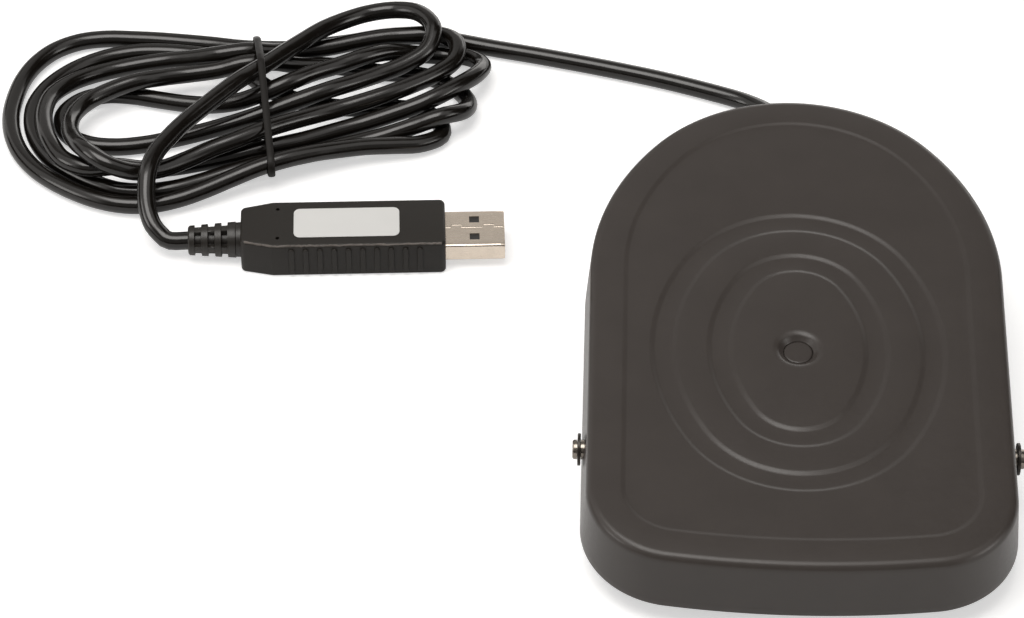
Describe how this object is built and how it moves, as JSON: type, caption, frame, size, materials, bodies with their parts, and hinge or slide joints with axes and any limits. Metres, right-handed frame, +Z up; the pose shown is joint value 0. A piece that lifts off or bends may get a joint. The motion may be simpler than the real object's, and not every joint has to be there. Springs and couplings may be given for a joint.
{
  "type": "usb foot pedal switch",
  "caption": "Low foot switch: a pressed, round-backed treadle with oval ring grooves rocks on an axle over a base pan and presses a microswitch; corded to a ribbed usb plug.",
  "frame": {"origin": "on the ground under the middle of the pedal's box, the cord and plug left out", "axes": "+Z up, +Y towards the raised back of the pedal where the cord leaves, +X to the right seen from the front"},
  "size_m": [0.2344, 0.1921, 0.0293],
  "materials": {
    "treadle_paint": "satin dark grey baked paint",
    "base_paint": "satin black baked paint",
    "foot_rubber": "moulded rubber",
    "axle_steel": "bright turned steel",
    "clip_steel": "dark spring steel",
    "spring_steel": "zinc-plated wire",
    "post_nylon": "natural nylon",
    "zinc_sheet": "zinc-plated sheet",
    "rivet_steel": "plain steel",
    "switch_plastic": "phenolic moulding",
    "terminal_brass": "plain brass",
    "lever_steel": "stainless strip",
    "button_plastic": "moulded",
    "screw_steel": "zinc-plated",
    "wire_pvc": "extruded",
    "grommet_rubber": "moulded rubber",
    "cord_pvc": "extruded PVC, glossy",
    "tie_plastic": "thin coated strip",
    "boot_pvc": "moulded PVC",
    "plug_plastic": "fine moulded texture",
    "label_film": "blank white film",
    "shell_nickel": "nickel-plated strip",
    "tongue_plastic": "moulded",
    "contact_gold": "gold flash",
    "board_laminate": "solder-masked glass laminate",
    "chip_plastic": "moulded"
  },
  "bodies": {
    "base": {"base_pan": "base_paint", "rubber_feet": "foot_rubber", "pivot_axle": "axle_steel", "retaining_clips": "clip_steel", "return_springs": "spring_steel", "spring_posts": "post_nylon", "switch_bracket": "zinc_sheet", "bracket_rivets": "rivet_steel", "microswitch_case": "switch_plastic", "microswitch_terminals": "terminal_brass", "switch_screws": "screw_steel", "switch_nuts": "screw_steel", "switch_wires": "wire_pvc", "cord_clamp": "zinc_sheet", "clamp_screws": "screw_steel", "cord_grommet": "grommet_rubber", "cord_inner": "cord_pvc", "cord_lead": "cord_pvc", "cord_hank": "cord_pvc", "cord_tail": "cord_pvc", "cord_tie": "tie_plastic", "plug_boot": "boot_pvc", "plug_housing": "plug_plastic", "plug_label": "label_film", "plug_shell": "shell_nickel", "plug_tongue": "tongue_plastic", "plug_contacts": "contact_gold", "controller_board": "board_laminate", "controller_chip": "chip_plastic"},
    "treadle": {"treadle_cover": "treadle_paint", "treadle_stud": "treadle_paint"},
    "switch_lever": {"microswitch_lever": "lever_steel"},
    "switch_button": {"microswitch_button": "button_plastic"}
  },
  "joints": [
    {"name": "treadle_pivot", "type": "hinge", "parent": "base", "child": "treadle", "pos_m": [0, -0.03045, 0.0135], "axis": [-1, 0, 0], "range_deg": [0, 5.5], "stiffness_Nm_per_rad": 2, "springref_deg": -11.46, "deforming": ["return_springs"]},
    {"name": "lever_pivot", "type": "hinge", "parent": "base", "child": "switch_lever", "pos_m": [0, -0.02147, 0.01736], "axis": [-1, 0, 0], "range_deg": [0, 8.9]},
    {"name": "button_slide", "type": "slide", "parent": "base", "child": "switch_button", "axis": [0, 0, -1], "range_m": [0, 0.0008]}
  ],
  "couplings": [
    {"joint": "lever_pivot", "follows": "treadle_pivot", "ratio": 1.6},
    {"joint": "button_slide", "follows": "treadle_pivot", "m_per_rad": 0.0081}
  ]
}
